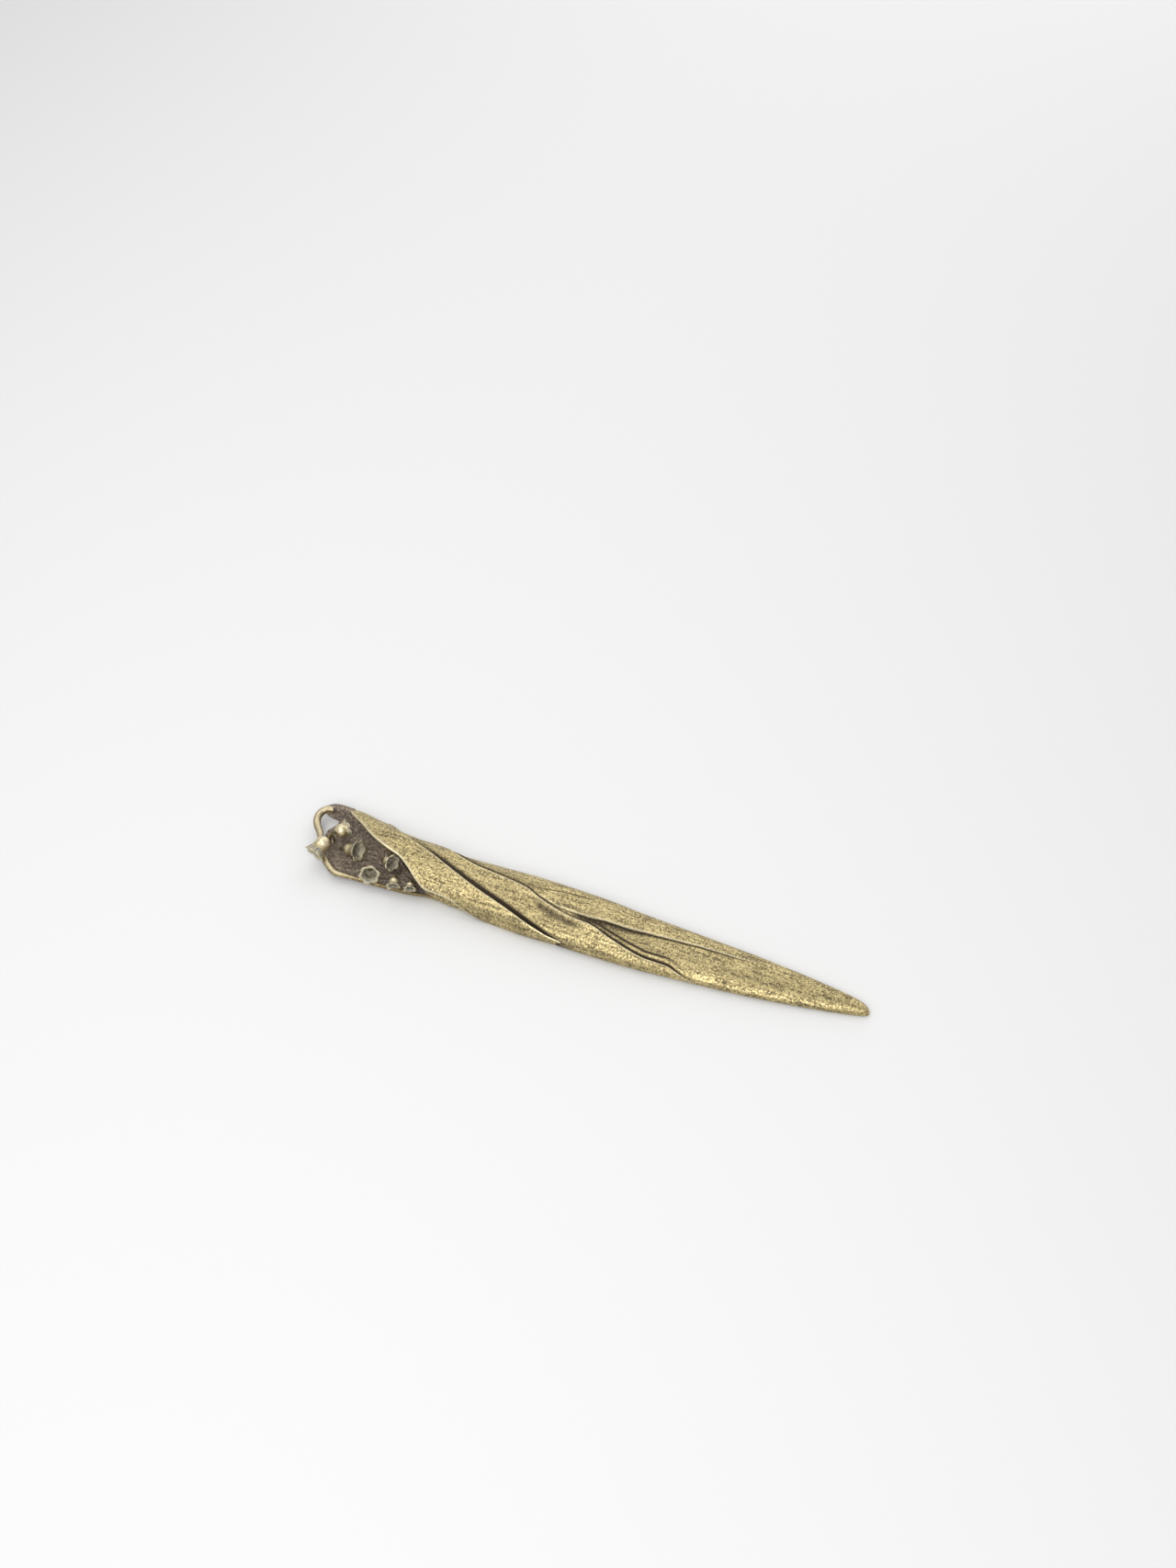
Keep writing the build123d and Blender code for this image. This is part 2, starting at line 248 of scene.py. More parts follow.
def wrap_grid(name, xs, rows, place):
    """Closed tube: place(x, row) gives a point in millimetres, a recess and a polish."""
    bm, recess, polish_and_highlight = new_marked_mesh()
    last_x = len(xs) - 1
    last_row = len(rows)
    bmesh.ops.create_grid(bm, x_segments=last_x, y_segments=last_row, size=1)
    for vert in bm.verts:
        i = round((vert.co.x + 1) / 2 * last_x)
        j = round((vert.co.y + 1) / 2 * last_row) % last_row
        point, vert[recess], vert[polish_and_highlight] = place(xs[i], rows[j])
        vert.co = point * MM
    bmesh.ops.remove_doubles(bm, verts=bm.verts, dist=WELD)
    bmesh.ops.dissolve_degenerate(bm, edges=bm.edges, dist=SLIVER)
    fill_ends(bm)
    return finish_mesh(name, bm)


print("columns along the whole blade", len(spread(0.0, TIP_REACH, GRID_STEP)))

# %% [markdown]
# ## What shows beside an edge
#
# Where one leaf lies over another there is a crevice, dark with patina that no cloth reaches and
# with painted shade, a soft shoulder of metal next to it, and a thin bright line on the edge
# itself, rubbed metal with a painted highlight. They could be loops of edges. Here each is a
# rounded bump at its own distance from the seam, so a seam can widen or close. Distances round
# the skin are turns times the girth, near enough to millimetres for small marks.

# %% grooves, seams and shaded flanks
GIRTH = 38.0
SEAM_OPENS = (-32, 4)
SEAM_CLOSES = (40, 58)
SHOULDER_RISE = 0.5
SHOULDER_AWAY = 2.0
SHOULDER_WIDTH = 1.3
# Strength of the painted shade on the low flanks
FLANK_PAINTED_SHADE = 0.26
NEAR_FLANK = (0.04, 0.14)
FAR_FLANK = (0.80, 0.95)


def groove(away, width):
    """Share from 0 to 1 of a rounded groove at a distance from its middle."""
    return math.exp(-(away / width) ** 2)


def shoulder(away):
    """Rise of the metal beside a seam, on the open side only."""
    return SHOULDER_RISE * groove(away - SHOULDER_AWAY, SHOULDER_WIDTH) * (away > 0)


def seam_strength(x):
    """How wide the seam beside the outer leaf stands open along its length."""
    return (0.45 + 0.55 * smooth(*SEAM_OPENS, x)) * (1 - 0.9 * smooth(*SEAM_CLOSES, x))


def flank_shade(turn):
    """Painted shade on the two low flanks of the section."""
    return FLANK_PAINTED_SHADE * (smooth(*FAR_FLANK, turn) + 1 - smooth(*NEAR_FLANK, turn))


def beside_cover(x, turn, edge):
    """Rise and darkness of a leaf beside the edge of the leaf that covers it."""
    strength = seam_strength(x)
    away = (turn - edge(x)) * GIRTH
    rise = strength * (shoulder(away) - 0.45 * groove(away, 1.0))
    # Darkness of the seam: patina and painted shade below the edge of the covering leaf.
    wide = 0.30 + 1.40 * strength + 2.5 * max(0.0, turn - 0.5)
    return rise, 1.3 * strength * groove(max(0.0, away), wide)


print("seam strength", [round(seam_strength(x), 2) for x in (-30, 0, 30, 60)])

# %% [markdown]
# ## The outer leaf
#
# Each leaf is a band with a soft rolled edge, and the outer one opens as the mouth over the
# flowers. A sheet with a thickness modifier would have square edges. Here the rows go over the
# top, round one edge, back inside and round the other, each with its own small formula.

# %% place of a leaf's points
LEAF_THICK = 0.85
BRAZE_GAP = 0.18
# The ridge of a leaf stays a little lower than the core's, inside the box of the solids
RIDGE_LIMIT = 10.45
TIP_FADE = 32
OPEN_EDGE = (0.0, 0.04)
LOW_SWELL_WIDTH = 0.8
HIGH_SWELL_WIDTH = 0.9
VALLEY_AWAY = 2.7
VALLEY_WIDTH = 1.7
VALLEY_PAINTED_SHADE = 0.66
FEATHER_TURNS = (0.60, 0.80)
EDGE_DROP = 0.18
EDGE_DROP_WIDTH = 0.22
EDGE_BULGE = 0.12
TURN_NUDGE = 0.002


def loop_rows(top, edge, inner, close):
    """Row names of a closed leaf section: over the top, round its edge, back inside."""
    rows = [("top", i / top) for i in range(top + 1)]
    rows += [("edge", (i + 1) / edge) for i in range(edge - 1)]
    rows += [("inner", 1 - i / inner) for i in range(inner + 1)]
    rows += [("close", (i + 1) / close) for i in range(close - 1)]
    return rows


def bulged(size, x, turn, lift, bulge):
    """Point on the rounded side of a leaf, pushed out along the skin."""
    ahead = skin(size, x, turn + TURN_NUDGE, lift) - skin(size, x, turn - TURN_NUDGE, lift)
    return skin(size, x, turn, lift) + ahead.normalized() * bulge


def leaf_place(low, high, bottom, low_lip, high_lip, valley, last_x, cover=None):
    """Place function of a leaf between two seams, with a swell along each edge."""
    def relief(x, turn, from_low, from_high, thin):
        """Rise and darkness of the leaf's top at a point."""
        swell = smooth(*OPEN_EDGE, low(x)) * low_lip * groove(from_low, LOW_SWELL_WIDTH)
        swell += high_lip * groove(from_high, HIGH_SWELL_WIDTH)
        rise = swell * thin - valley(x) * groove(from_high - VALLEY_AWAY, VALLEY_WIDTH)
        # Painted shade in the hollow beside the lip.
        dark = VALLEY_PAINTED_SHADE * smooth(0.15, 0.55, valley(x)) * groove(from_high - 1.8, 1.5)
        if cover:
            seam_rise, seam_dark = beside_cover(x, turn, cover)
            rise += seam_rise * thin
            dark = max(dark, seam_dark)
        return rise, max(dark, flank_shade(turn))

    def place(x, row):
        """Point, recess and polish of one row at x."""
        kind, s = row
        middle, half, ridge = section(x)
        size = (middle, half, min(ridge, RIDGE_LIMIT))
        thin = 1 - 0.9 * smooth(last_x - TIP_FADE, last_x, x)
        over = (bottom + LEAF_THICK) * thin
        first = max(low(x), border(size, x, over, False))
        last = min(high(x), border(size, x, over, True))
        turn = first + (last - first) * s
        from_low = s * (last - first) * GIRTH
        from_high = (1 - s) * (last - first) * GIRTH
        rise, dark = relief(x, turn, from_low, from_high, thin)
        feather = 1 - 0.28 * smooth(*FEATHER_TURNS, turn)
        crest = (over + rise) * feather
        under = bottom * thin * feather
        open_low = smooth(*OPEN_EDGE, low(x))
        bulge = EDGE_BULGE * math.sin(math.pi * s)
        if kind == "top":
            drop = groove(from_low, EDGE_DROP_WIDTH) + groove(from_high, EDGE_DROP_WIDTH)
            # Bright line along both edges of the top: rubbed metal and a painted highlight.
            rub_and_highlight = max(open_low * groove(from_low, 0.48), 0.5 * groove(from_high, 0.4))
            return skin(size, x, turn, crest - EDGE_DROP * drop), dark, rub_and_highlight
        # Inside and on the lower half of each rolled edge the metal is dark with patina and painted
        # shade; the tops of the edges carry rubbed metal and a painted highlight.
        if kind == "inner":
            return skin(size, x, turn, under), 1.0, 0.0
        if kind == "edge":
            shelf = crest - EDGE_DROP
            point = bulged(size, x, last, shelf + (under - shelf) * s, bulge)
            return point, smooth(-0.3, 0.5, s), 0.3 * (1 - s)
        point = bulged(size, x, first, under + (over - under) * s, -bulge)
        return point, 1 - smooth(0.4, 0.9, s), 0.8 * open_low * s
    return place


LEAF_ROWS = loop_rows(top=70, edge=8, inner=16, close=5)
print("rows round a leaf", len(LEAF_ROWS))

# %% [markdown]
# The outer leaf lies on top of everything else, so it is lifted by two gaps and by the middle
# leaf's thickness. Its mouth swells slightly and catches the light as a thin bright line, which a
# painted highlight makes paler.

# %% outer leaf
# Place along, then turn round the section
MOUTH_SHARES = [
    (-0.86, 0.82), (-0.82, 0.745), (-0.78, 0.68), (-0.68, 0.61), (-0.56, 0.54),
    (-0.45, 0.495), (-0.36, 0.465), (-0.275, 0.40), (-0.20, 0.32), (-0.12, 0.25),
    (0.01, 0.23), (0.05, 0.17), (0.10, 0.10), (0.15, 0.04), (0.19, 0.0),
]
OUTER_EDGE_SHARES = [
    (-0.75, 1.0), (-0.66, 0.94), (-0.56, 0.83), (-0.47, 0.73), (-0.38, 0.67),
    (-0.20, 0.58), (-0.01, 0.48), (0.07, 0.395), (0.15, 0.32), (0.23, 0.235),
    (0.27, 0.195), (0.315, 0.175), (0.345, 0.15), (0.37, 0.11),
]
MOUTH_SWELL = 0.16
OUTER_END = along(OUTER_EDGE_SHARES[-1][0])
mouth = make_curve(MOUTH_SHARES, 1)
outer_edge = make_curve(OUTER_EDGE_SHARES, 1)


def no_valley(x):
    """A leaf without a hollow beside its lip."""
    return 0.0


outer_leaf = wrap_grid(
    "outer_leaf_skin",
    spread(along(MOUTH_SHARES[0][0]), OUTER_END, GRID_STEP),
    LEAF_ROWS,
    leaf_place(
        mouth, outer_edge, 2 * BRAZE_GAP + LEAF_THICK, MOUTH_SWELL, 0.0, no_valley, OUTER_END,
    ),
)
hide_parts("outer_leaf")

# %% [markdown]
# ## The middle leaf
#
# The middle leaf comes out from under the outer one and ends in a free rolled lip. A hollow
# runs beside the lip where the leaf turns down towards the blade, darkened with painted shade.
# The same place function makes both leaves, because they are one kind of thing on the real
# opener.

# %% middle leaf
MIDDLE_EDGE_SHARES = [
    (-0.34, 0.86), (-0.28, 0.84), (-0.19, 0.79), (-0.09, 0.72), (0.00, 0.65),
    (0.05, 0.595), (0.11, 0.57), (0.17, 0.54), (0.225, 0.477), (0.30, 0.431),
    (0.34, 0.425), (0.40, 0.37), (0.46, 0.315), (0.49, 0.295), (0.54, 0.29),
    (0.565, 0.25), (0.595, 0.18), (0.62, 0.12),
]
SEAT_X = -22.0
LIP_RISE = 0.35
HIDDEN_LAP_SHARE = 0.05
MIDDLE_END = along(MIDDLE_EDGE_SHARES[-1][0])
middle_edge = make_curve(MIDDLE_EDGE_SHARES, 1)


def middle_valley(x):
    """Depth of the hollow beside the middle leaf's lip, deepest where it turns down."""
    return 0.7 * groove(x - 44, 13) + 0.15 * groove(x - 66, 9)


def middle_low(x):
    """Hidden edge of the middle leaf, a lap behind the mouth."""
    return mouth(x) + min(HIDDEN_LAP_SHARE, mouth(x))


middle_leaf = wrap_grid(
    "middle_leaf_skin",
    spread(SEAT_X, MIDDLE_END, GRID_STEP),
    LEAF_ROWS,
    leaf_place(
        middle_low, middle_edge, BRAZE_GAP, 0.0, LIP_RISE, middle_valley, MIDDLE_END, outer_edge,
    ),
)
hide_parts("middle_leaf")

# %% [markdown]
# ## The dark ground
#
# Inside the mouth the metal drops to a sunken ground with a steep wall on the far side. The
# solid of the bed has that shape already, so it stays in the scene. Only the near part of the
# blade, which the mouth also crosses, is lowered to the same level.

# %% sunken ground
GROUND_LEVEL = 3.6
UNDER_CUT = 2.2
# Place along, then the wall's place across as a share of the half width
WALL_SHARES = [
    (-1.04, 0.95), (-0.90, 0.97), (-0.84, 0.96), (-0.78, 0.90), (-0.68, 0.73),
    (-0.56, 0.37), (-0.45, 0.11), (-0.36, 0.0), (-0.275, -0.23), (-0.20, -0.48),
    (-0.12, -0.70), (-0.06, -0.92), (-0.03, -1.20),
]
ground_wall = make_curve(WALL_SHARES, 1)


def ground_at(x, y):
    """Place of the wall at x, and height of the ground at x and y."""
    wall = HALF_WIDTH * ground_wall(x)
    return wall, GROUND_LEVEL + UNDER_CUT * smooth(wall - UNDER_CUT, wall, y)


def sink(point):
    """Lowers a point of the core to the sunken ground inside the mouth."""
    wall, floor = ground_at(point.x, point.y)
    if point.y < wall and point.z > floor:
        depth = point.z - floor
        point.z = floor
        return smooth(0.1, 0.9, depth)
    return 0.0


print("ground in the mouth", [round(v, 2) for v in ground_at(-40.0, 0.0)])

# %% [markdown]
# ## The furrow and the seams on the blade
#
# The blade is solid metal with a flat back. Its far half is carved as a third leaf: a step runs
# down the top, and below the step the metal is scooped into a shallow furrow that fades out
# towards the tip. Painted shade darkens the wall of the step and the furrow below it. It could
# be cut with a second solid, but a formula keeps the grid clean. The helpers also give the
# shadow of the middle leaf's lip and the fill at the handle.

# %% furrow, nose and fine lines
HOLLOW_DEPTH = 0.70
FURROW_SHARES = [
    (0.19, 0.53), (0.22, 0.505), (0.27, 0.473), (0.34, 0.48), (0.38, 0.503),
    (0.43, 0.51), (0.47, 0.527), (0.56, 0.56), (0.60, 0.577), (0.675, 0.59), (0.73, 0.61),
]
CREASE_SHARES = [(0.175, 0.555), (0.22, 0.60), (0.26, 0.632), (0.30, 0.652), (0.34, 0.66)]
FURROW_WIDTH_SHARE = 0.17
FURROW_START = along(FURROW_SHARES[0][0])
FURROW_END = along(FURROW_SHARES[-1][0])
NOSE_REACH = 2.2
SECOND_LINE_SPAN = (50, 58, 86, 102)
HEEL_TURNS = (0.80, 0.87, 0.90, 0.97)
HEEL_LENGTH = 20
furrow = make_curve(FURROW_SHARES, 1)
crease = make_curve(CREASE_SHARES, 1)


def furrow_depth(x):
    """Depth of the step at x, fading at both ends."""
    s = min(max((x - FURROW_START) / (FURROW_END - FURROW_START), 0.0), 1.0)
    return HOLLOW_DEPTH * math.sin(math.pi * s) ** 0.5 if 0 < s < 1 else 0.0


def nose(x):
    """Shrink of the section that rounds the tip."""
    s = max(0.0, (x - (TIP_REACH - NOSE_REACH)) / NOSE_REACH)
    return math.sqrt(max(0.02, 1 - s * s))


def lip_shadow(x, turn):
    """Depth and darkness of the crevice that the middle leaf's lip leaves on the blade."""
    away = (turn - middle_edge(x)) * GIRTH
    there = window(SEAT_X + 6, SEAT_X + 20, MIDDLE_END - 12, MIDDLE_END, x)
    wide = 0.85 + 7 * max(0.0, turn - 0.5) + 0.35 * smooth(48, 56, x)
    dark = 1.15 * there * smooth(-1.2, -0.4, away) * groove(max(0.0, away), wide)
    return there * (0.35 * groove(away, 1.0) - shoulder(away)), dark


def heel(x, turn):
    """Rise of the blade's far flank that meets the flower bed without a step."""
    fade = 1 - smooth(SEAT_X, SEAT_X + HEEL_LENGTH, x)
    return 0.7 * LEAF_THICK * fade * window(*HEEL_TURNS, turn)


def second_line(x, turn):
    """Fine groove on the near leaf that follows the middle leaf's lip at a small distance."""
    away = (turn - middle_edge(x) - 0.046 - 0.0011 * (x - 60)) * GIRTH
    return groove(away, 0.55) * window(*SECOND_LINE_SPAN, x)


print("furrow depth half way", round(furrow_depth((FURROW_START + FURROW_END) / 2), 2), "mm")

# %% [markdown]
# ## The blade
#
# The rows of the grid are bunched so that one of them always follows the step, which keeps the
# carved edge crisp along its whole length. An even grid would cut across it in small teeth.

# %% blade
PART_ROWS = 80
BACK_ROWS = 12
TIP_LENGTH = 3
TIP_STEP = 0.2
FURROW_OPEN_SPAN = (48, 58, 62, 92)
NEAR_SWELL_SPAN = (-8, 4, 12, 26)
NEAR_SWELL_TURNS = (0.03, 0.12, 0.22, 0.30)
CREASE_SPAN = (29, 34, 52, 60)
BACK_PATINA = 0.25


def near_part(size, x, s):
    """Point, recess and polish of the hollowed near leaf."""
    depth = furrow_depth(x)
    turn = furrow(x) * s
    away = furrow(x) - turn
    scoop = max(0.0, 1 - away / FURROW_WIDTH_SHARE)
    width = 0.030 + 0.095 * window(*FURROW_OPEN_SPAN, x)
    # Painted shade in the furrow below the step.
    deep = 0.86 * min(1.0, depth * 2.2) * smooth(44, 54, x) * (1 - smooth(0.0, width, away))
    line = second_line(x, turn)
    dip, dark = lip_shadow(x, turn)
    swell = 0.9 * window(*NEAR_SWELL_SPAN, x) * window(*NEAR_SWELL_TURNS, turn)
    point = skin(size, x, turn, swell - depth * scoop ** 1.5 - 0.28 * line - dip)
    deep = 0.9 * max(deep, 1.05 * line)
    return point, max(deep, dark, sink(point), flank_shade(turn)), 0.0


def far_part(size, x, s):
    """Point, recess and polish of the raised far leaf, from the step to the far flank."""
    depth = furrow_depth(x)
    turn = furrow(x) + (1 - furrow(x)) * s
    away = turn - furrow(x)
    ridge = 0.10 * min(1.0, depth * 3) * groove(away, 0.02)
    line = groove(turn - crease(x), 0.010) * window(*CREASE_SPAN, x)
    dip, dark = lip_shadow(x, turn)
    # Painted shade on the wall of the step, and the dark crease line.
    deep = max(0.7 * line, 0.8 * min(1.0, depth * 2.5) * (1 - smooth(0.0, 0.006, away)))
    # Bright line on the edge of the step: rubbed metal and a painted highlight.
    rub_and_highlight = 0.45 * min(1.0, depth * 3) * groove(away, 0.012)
    lift = ridge + heel(x, turn) - 0.22 * line - dip
    return skin(size, x, turn, lift), max(deep, dark, flank_shade(turn)), rub_and_highlight * (1 - dark)


def blade_place(x, row):
    """Point, recess and polish of the blade: near part, far part, or flat back."""
    kind, s = row
    middle, half, ridge = section(x, nose(x))
    size = (middle, half, ridge * (0.45 + 0.55 * nose(x)))
    if kind == "near":
        return near_part(size, x, s)
    if kind == "far":
        return far_part(size, x, s)
    far_corner = skin(size, x, 1.0, 0)
    near_corner = skin(size, x, 0.0, 0)
    return far_corner + (near_corner - far_corner) * s, BACK_PATINA, 0.0


blade_rows = [("near", i / PART_ROWS) for i in range(PART_ROWS + 1)]
blade_rows += [("far", i / PART_ROWS) for i in range(PART_ROWS + 1)]
blade_rows += [("back", (i + 1) / BACK_ROWS) for i in range(BACK_ROWS - 1)]
blade_xs = spread(SEAT_X, TIP_REACH - TIP_LENGTH, GRID_STEP)
blade_xs += spread(TIP_REACH - TIP_LENGTH + TIP_STEP, TIP_REACH, TIP_STEP)
blade = wrap_grid("blade_skin", blade_xs, blade_rows, blade_place)
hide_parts("blade")

# %% [markdown]
# ## The profile of a bell
#
# A lily of the valley bell is a round dome with a drawn-in waist and tips that curl back. It
# could be sculpted, but spinning one profile keeps the dome truly round at all seven sizes.

# %% bell profile
BELL_RADIUS = 2.7
BELL_WALL = 0.45
CROWN_BORE = 0.78
FLARE_POWER = 2.6
DOME_STEPS = 14
WAIST_STEPS = 12
INSIDE_STEPS = 10
CEILING_STEPS = 8


def arc_points(center, radius, start, end, count):
    """Points of an arc in the profile plane, angles in degrees."""
    angles = [math.radians(start + (end - start) * i / count) for i in range(count + 1)]
    return [(center[0] + radius * math.cos(a), center[1] + radius * math.sin(a)) for a in angles]


def bell_profile(dome, rim, mouth_z):
    """Radius and height pairs from the crown over the dome to the rim and back inside."""
    start = math.degrees(math.asin(min(1.0, CROWN_BORE / dome)))
    outer = arc_points((0, dome), dome, -90 + start, 0, DOME_STEPS)
    waist = []
    for i in range(1, WAIST_STEPS + 1):
        s = i / WAIST_STEPS
        neck = 1 - 0.05 * math.sin(math.pi * min(1.0, 1.6 * s))
        radius = dome * neck + (rim - dome) * s ** FLARE_POWER
        waist.append((radius, dome + (mouth_z - dome) * s))
    room = dome - BELL_WALL
    inside = []
    for i in range(1, INSIDE_STEPS + 1):
        s = 1 - i / INSIDE_STEPS
        radius = room * 0.97 + (rim - BELL_WALL - room) * s ** FLARE_POWER
        inside.append((radius, dome + (mouth_z - dome) * s))
    start = math.degrees(math.asin(CROWN_BORE / room))
    ceiling = arc_points((0, dome), room, 0, -90 + start, CEILING_STEPS)[1:]
    return outer + waist + inside + ceiling


print("points in a profile", len(bell_profile(BELL_RADIUS, BELL_RADIUS, 2 * BELL_RADIUS)))

# %% [markdown]
# ## The bells
#
# Each spun bell gets its rim pulled out and back at six places. The cosine that shapes these
# lobes also marks them: domes and tips are rubbed bright and carry a painted highlight, insides
# and notches keep an oxide.

# %% bells
# Centre of the dome, aim of the mouth, size as a share of a full bell, rim and length in domes
BELL_SHARES = [
    ((-0.788, 0.237, 0.79), (0.50, 0.70, -0.15), 1.05, 1.14, 2.0),
    ((-0.850, -0.354, 0.849), (-0.30, -0.93, -0.24), 1.14, 1.24, 2.9),
    ((-0.697, -0.155, 0.565), (0.92, -0.10, 0.36), 0.86, 1.70, 3.4),
    ((-0.498, -0.67, 0.68), (0.36, -0.82, 0.42), 1.00, 1.34, 2.2),
    ((-0.420, -0.20, 0.70), (0.82, -0.38, 0.42), 0.88, 1.32, 2.3),
    ((-0.330, -0.745, 0.66), (0.30, -0.90, -0.10), 0.75, 1.24, 2.2),
    ((-0.226, -0.70, 0.64), (0.30, -0.90, -0.05), 0.67, 1.22, 2.1),
]
SPIN_STEPS = 72
LOBE_POWER = 0.7
PHASE_STEP = 0.7
TIP_GROW = 0.20
NOTCH_SHRINK = 0.08
TIP_FALL = 0.08
NOTCH_FALL = 0.30
MOUTH_OXIDE = 0.9
DOME_RUB_AND_HIGHLIGHT = 0.6


def at_shares(a, b, c):
    """Point from shares of the butt's reach, the half width and the core's height."""
    return Vector((a * BUTT_REACH, b * HALF_WIDTH, c * CORE_HEIGHT))


def make_bell(number, row):
    """One bell, spun and lobed, placed with its crown on its wire."""
    place, aim, share, rim_share, length_share = row
    dome = share * BELL_RADIUS
    rim = rim_share * dome
    mouth_z = length_share * dome
    bm, recess, polish_and_highlight = new_marked_mesh()
    chain = [bm.verts.new((r, 0, z)) for r, z in bell_profile(dome, rim, mouth_z)]
    edges = [bm.edges.new((chain[i], chain[(i + 1) % len(chain)])) for i in range(len(chain))]
    bmesh.ops.spin(
        bm, geom=chain + edges, cent=(0, 0, 0), axis=(0, 0, 1), dvec=(0, 0, 0),
        angle=2 * math.pi, steps=SPIN_STEPS, use_merge=True,
    )
    turned = Vector(aim).normalized().to_track_quat("Z", "Y").to_matrix()
    for vert in bm.verts:
        r = math.hypot(vert.co.x, vert.co.y)
        angle = math.atan2(vert.co.y, vert.co.x)
        t = max(0.0, (vert.co.z - dome) / (mouth_z - dome))
        lobe = abs(math.cos(3 * angle + PHASE_STEP * number)) ** LOBE_POWER
        grow = 1 + t ** 2 * (TIP_GROW * lobe - NOTCH_SHRINK * (1 - lobe))
        fall = t ** 2 * dome * (-TIP_FALL * lobe - NOTCH_FALL * (1 - lobe))
        body = dome + (rim - dome) * t ** FLARE_POWER
        reach = r if t > 0 else math.hypot(r, vert.co.z - dome)
        inner = reach < body - 0.6 * BELL_WALL
        vert[recess] = MOUTH_OXIDE
        if not inner:
            vert[recess] = MOUTH_OXIDE * smooth(0.25, 0.7, t) * (1 - 0.3 * lobe)
        # Domes and lobe tips are paler: rubbed metal and a painted highlight.
        rub_and_highlight = 0.0 if inner else DOME_RUB_AND_HIGHLIGHT * (1 - smooth(0.0, 0.35, t))
        vert[polish_and_highlight] = max(smooth(0.85, 1.0, t) * (0.4 + 0.6 * lobe), rub_and_highlight)
        vert.co = Vector((vert.co.x * grow, vert.co.y * grow, vert.co.z + fall))
        vert.co = (at_shares(*place) + turned @ (vert.co - Vector((0, 0, dome)))) * MM
    bell = finish_mesh("bell_%d_cast" % number, bm)
    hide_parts("bell_%d" % number)
    return bell


bells = [make_bell(number, row) for number, row in enumerate(BELL_SHARES, start=1)]

# %% [markdown]
# ## Round wires along a curve
#
# The stem, the flowers' own wires and the rim of the bed are round bars along a smooth curve. A
# curve object with a bevel would draw them too, but it could not carry the two marks. So a grid
# is wrapped round the curve, turning as little as possible from ring to ring.

# %% tube along a curve
STEP_AHEAD = 0.004


def curve_through(points, t):
    """Point at t, from 0 to 1, of a smooth curve through the given points."""
    place = t * (len(points) - 1)
    i = min(int(place), len(points) - 2)
    s = place - i
    p0, p1 = points[max(i - 1, 0)], points[i]
    p2, p3 = points[i + 1], points[min(i + 2, len(points) - 1)]
    bend = p0 * -1 + p1 * 3 + p2 * -3 + p3
    return p1 + ((p2 - p0) * s + (p0 * 2 - p1 * 5 + p2 * 4 - p3) * s ** 2 + bend * s ** 3) / 2


def tube(name, points, radius, rings, sides, deep, worn):
    """Closed round tube along a smooth curve; radius, deep and worn are functions of t."""
    bm, recess, polish_and_highlight = new_marked_mesh()
    bmesh.ops.create_grid(bm, x_segments=rings, y_segments=sides, size=1)
    frames = []
    side = Vector((1, 1, 1))
    for k in range(rings + 1):
        t = k / rings
        ahead = curve_through(points, min(1, t + STEP_AHEAD))
        ahead = (ahead - curve_through(points, max(0, t - STEP_AHEAD))).normalized()
        side = (side - ahead * side.dot(ahead)).normalized()
        frames.append((curve_through(points, t), side.copy(), ahead.cross(side), t))
    for vert in bm.verts:
        i = round((vert.co.x + 1) / 2 * rings)
        angle = 2 * math.pi * (round((vert.co.y + 1) / 2 * sides) % sides) / sides
        middle, first, second, t = frames[i]
        reach = radius(t)
        point = middle + (first * math.cos(angle) + second * math.sin(angle)) * reach
        vert.co = point * MM
        # Darker towards the underside of the tube.
        vert[recess] = max(deep(t), smooth(0.2, 1.0, (middle.z - point.z) / reach))
        # Paler on top of the tube: rubbed metal and a painted highlight.
        vert[polish_and_highlight] = worn(t) * smooth(0.3, 1.0, (point.z - middle.z) / reach)
    bmesh.ops.remove_doubles(bm, verts=bm.verts, dist=WELD)
    fill_ends(bm)
    return finish_mesh(name, bm)


def always(value):
    """Function of t that stays at one value."""
    return lambda t: value


straight = [Vector((x, 0, 0)) for x in range(5)]
print("half way along a straight curve", curve_through(straight, 0.5).x)

# %% [markdown]
# ## The stem
#
# The flowers hang on one stem that loops round the open butt and then runs along the near edge.
# It grows out of the corner of the bed, and its other end thins out and slips under the leaf.
# It is thickest and brightest on its open loop, where cloth can reach all round it and a
# highlight is painted on its top.

# %% stem
STEM_START = (-0.93, 0.93, 0.47)
LOOP_SHARES = [
    (-0.965, 0.86, 0.50), (-0.992, 0.72, 0.48), (-0.995, 0.54, 0.46), (-0.978, 0.36, 0.43),
    (-0.940, 0.17, 0.42), (-0.905, -0.05, 0.42), (-0.868, -0.29, 0.42), (-0.832, -0.53, 0.42),
    (-0.784, -0.73, 0.42),
]
RUN_SHARES = [-0.72, -0.64, -0.54, -0.40, -0.30, -0.20, -0.12, -0.05]
RUN_LEVEL_SHARE = 0.40
STEM_RADIUS = 1.05
STEM_RINGS = 260
STEM_SIDES = 20


def stem_points():
    """Centre line of the stem: its open loop, then its run beside the core."""
    points = [at_shares(*STEM_START)]
    points += [at_shares(*shares) for shares in LOOP_SHARES]
    for share in RUN_SHARES:
        x = along(share)
        inward = 0.25 + 0.30 * smooth(-0.60, -0.45, share) + 0.9 * smooth(-0.22, -0.05, share)
        y = HALF_WIDTH * near_edge(x) - STEM_RADIUS - BRAZE_GAP + inward
        points.append(Vector((x, y, RUN_LEVEL_SHARE * CORE_HEIGHT)))
    return points


